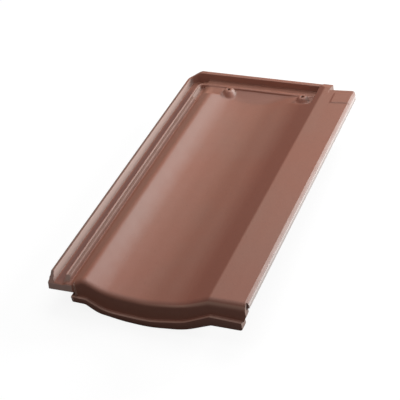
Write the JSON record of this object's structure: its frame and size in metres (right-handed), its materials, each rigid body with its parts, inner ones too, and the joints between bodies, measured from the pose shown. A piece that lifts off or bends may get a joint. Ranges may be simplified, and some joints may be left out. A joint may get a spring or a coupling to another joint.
{
  "type": "interlocking clay roof tile",
  "caption": "Large clay roof tile with a wide trough, a flat roll, a ribbed side rebate, head ribs, a deep nose and nail holes; it laps the tiles beside and below.",
  "frame": {"origin": "middle of the overall outline, at the level of the lowest point of the nose", "axes": "+X from the ribbed rebate to the flat roll, +Y up the roof from the nose to the head, +Z out of the weathered face"},
  "size_m": [0.3, 0.49, 0.0806],
  "materials": {
    "fired_clay": "engobed fired clay with a soft satin sheen"
  },
  "bodies": {
    "root": {"roof_tile": "fired_clay"}
  },
  "joints": []
}
